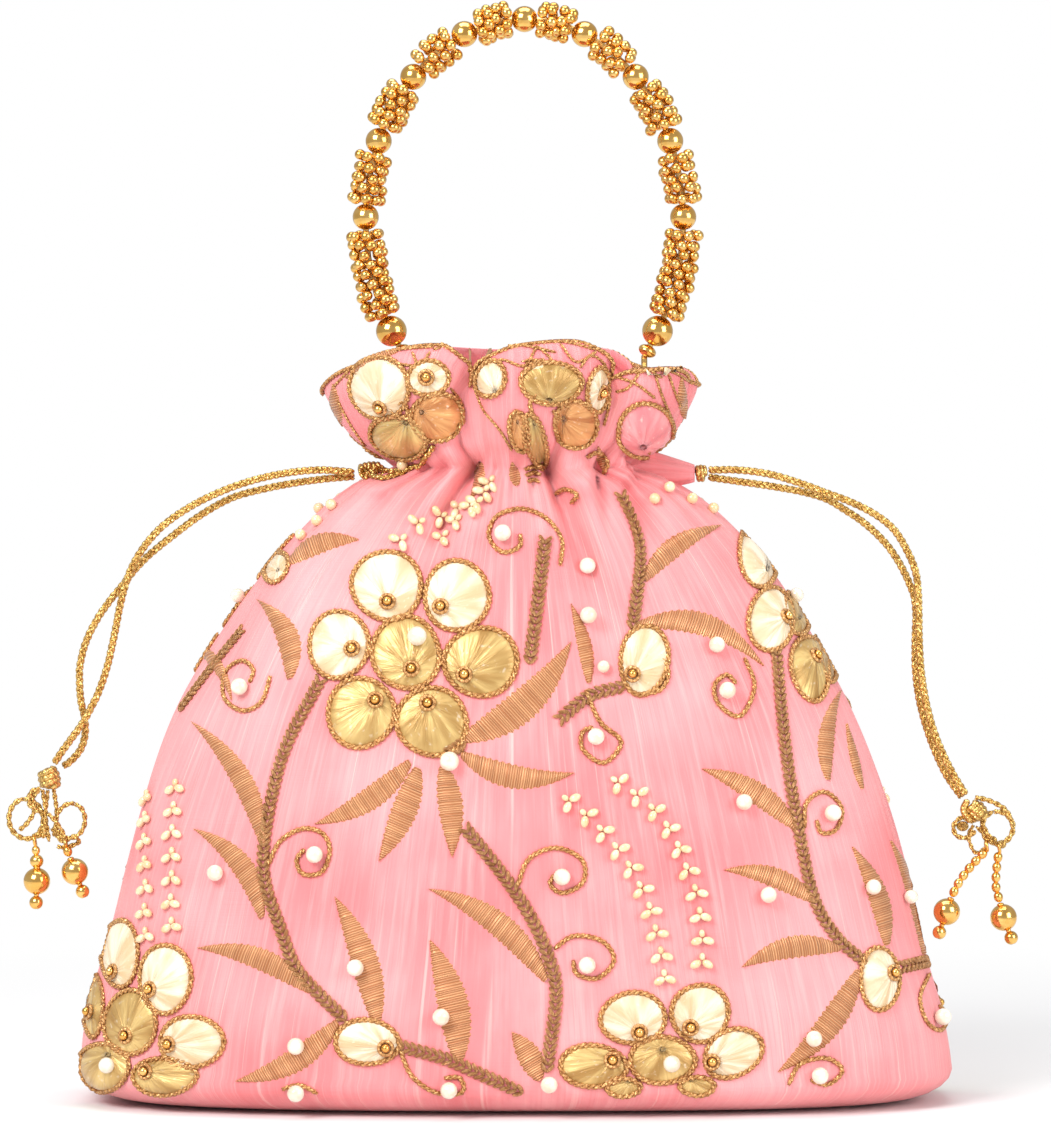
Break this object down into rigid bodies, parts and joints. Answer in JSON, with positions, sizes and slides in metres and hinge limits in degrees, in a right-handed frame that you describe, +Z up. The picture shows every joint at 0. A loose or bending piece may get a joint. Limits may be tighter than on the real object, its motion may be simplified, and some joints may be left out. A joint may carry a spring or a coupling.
{
  "type": "potli bag",
  "caption": "Small gathered drawstring pouch in embroidered silk with a beaded bangle handle and a corded drawstring that ends in bead dangles.",
  "frame": {"origin": "middle of the flat base, on the surface the bag stands on", "axes": "+Z up to the handle, +X to the right of the front, the front faces -Y"},
  "size_m": [0.2634, 0.095, 0.2846],
  "materials": {
    "embroidered_silk": "pink raw silk with slubs, gold and cream satin stitch, copper leaves",
    "gold_bead": "polished gold",
    "gilt_wire": "satin gilt",
    "gold_cord": "plaited metallic gold thread",
    "gold_thread": "twisted gold thread"
  },
  "bodies": {
    "bag": {"bag_body": "embroidered_silk", "bow_left": "gold_cord", "bow_right": "gold_cord", "cord_left_back": "gold_cord", "cord_left_front": "gold_cord", "cord_right_back": "gold_cord", "cord_right_front": "gold_cord", "exit_knot_left": "gold_cord", "exit_wrap_right": "gold_cord", "handle_tack_left": "gold_thread", "handle_tack_right": "gold_thread"},
    "handle": {"handle_bead_1": "gold_bead", "handle_bead_2": "gold_bead", "handle_bead_3": "gold_bead", "handle_bead_4": "gold_bead", "handle_bead_5": "gold_bead", "handle_bead_6": "gold_bead", "handle_bead_7": "gold_bead", "handle_bead_8": "gold_bead", "handle_bead_9": "gold_bead", "handle_cluster_1": "gold_bead", "handle_cluster_10": "gold_bead", "handle_cluster_2": "gold_bead", "handle_cluster_3": "gold_bead", "handle_cluster_4": "gold_bead", "handle_cluster_5": "gold_bead", "handle_cluster_6": "gold_bead", "handle_cluster_7": "gold_bead", "handle_cluster_8": "gold_bead", "handle_cluster_9": "gold_bead", "handle_core": "gilt_wire", "handle_end_bead_left": "gold_bead", "handle_end_bead_right": "gold_bead", "handle_spacer_left": "gold_bead", "handle_spacer_right": "gold_bead"},
    "dangle_left_outer": {"dangle_left_outer_bead": "gold_bead", "dangle_left_outer_string": "gold_bead", "dangle_left_outer_tip": "gold_bead"},
    "dangle_left_inner": {"dangle_left_inner_bead": "gold_bead", "dangle_left_inner_string": "gold_bead", "dangle_left_inner_tip": "gold_bead"},
    "dangle_right_outer": {"dangle_right_outer_bead": "gold_bead", "dangle_right_outer_string": "gold_bead", "dangle_right_outer_tip": "gold_bead"},
    "dangle_right_inner": {"dangle_right_inner_bead": "gold_bead", "dangle_right_inner_string": "gold_bead", "dangle_right_inner_tip": "gold_bead"}
  },
  "joints": [
    {"name": "handle_swing", "type": "hinge", "parent": "bag", "child": "handle", "pos_m": [0.0022, 0, 0.1892], "axis": [1, 0, 0], "range_deg": [-60, 60]},
    {"name": "dangle_left_outer_swing", "type": "hinge", "parent": "bag", "child": "dangle_left_outer", "pos_m": [-0.12554, 0, 0.06825], "axis": [0.788, 0, 0.6157], "range_deg": [-35, 35]},
    {"name": "dangle_left_inner_swing", "type": "hinge", "parent": "bag", "child": "dangle_left_inner", "pos_m": [-0.11736, 0, 0.06774], "axis": [0.9903, 0, -0.1392], "range_deg": [-35, 35]},
    {"name": "dangle_right_outer_swing", "type": "hinge", "parent": "bag", "child": "dangle_right_outer", "pos_m": [0.12584, 0, 0.06622], "axis": [0.9703, 0, 0.2419], "range_deg": [-35, 35]},
    {"name": "dangle_right_inner_swing", "type": "hinge", "parent": "bag", "child": "dangle_right_inner", "pos_m": [0.12272, 0, 0.06677], "axis": [0.829, 0, -0.5592], "range_deg": [-35, 35]}
  ]
}
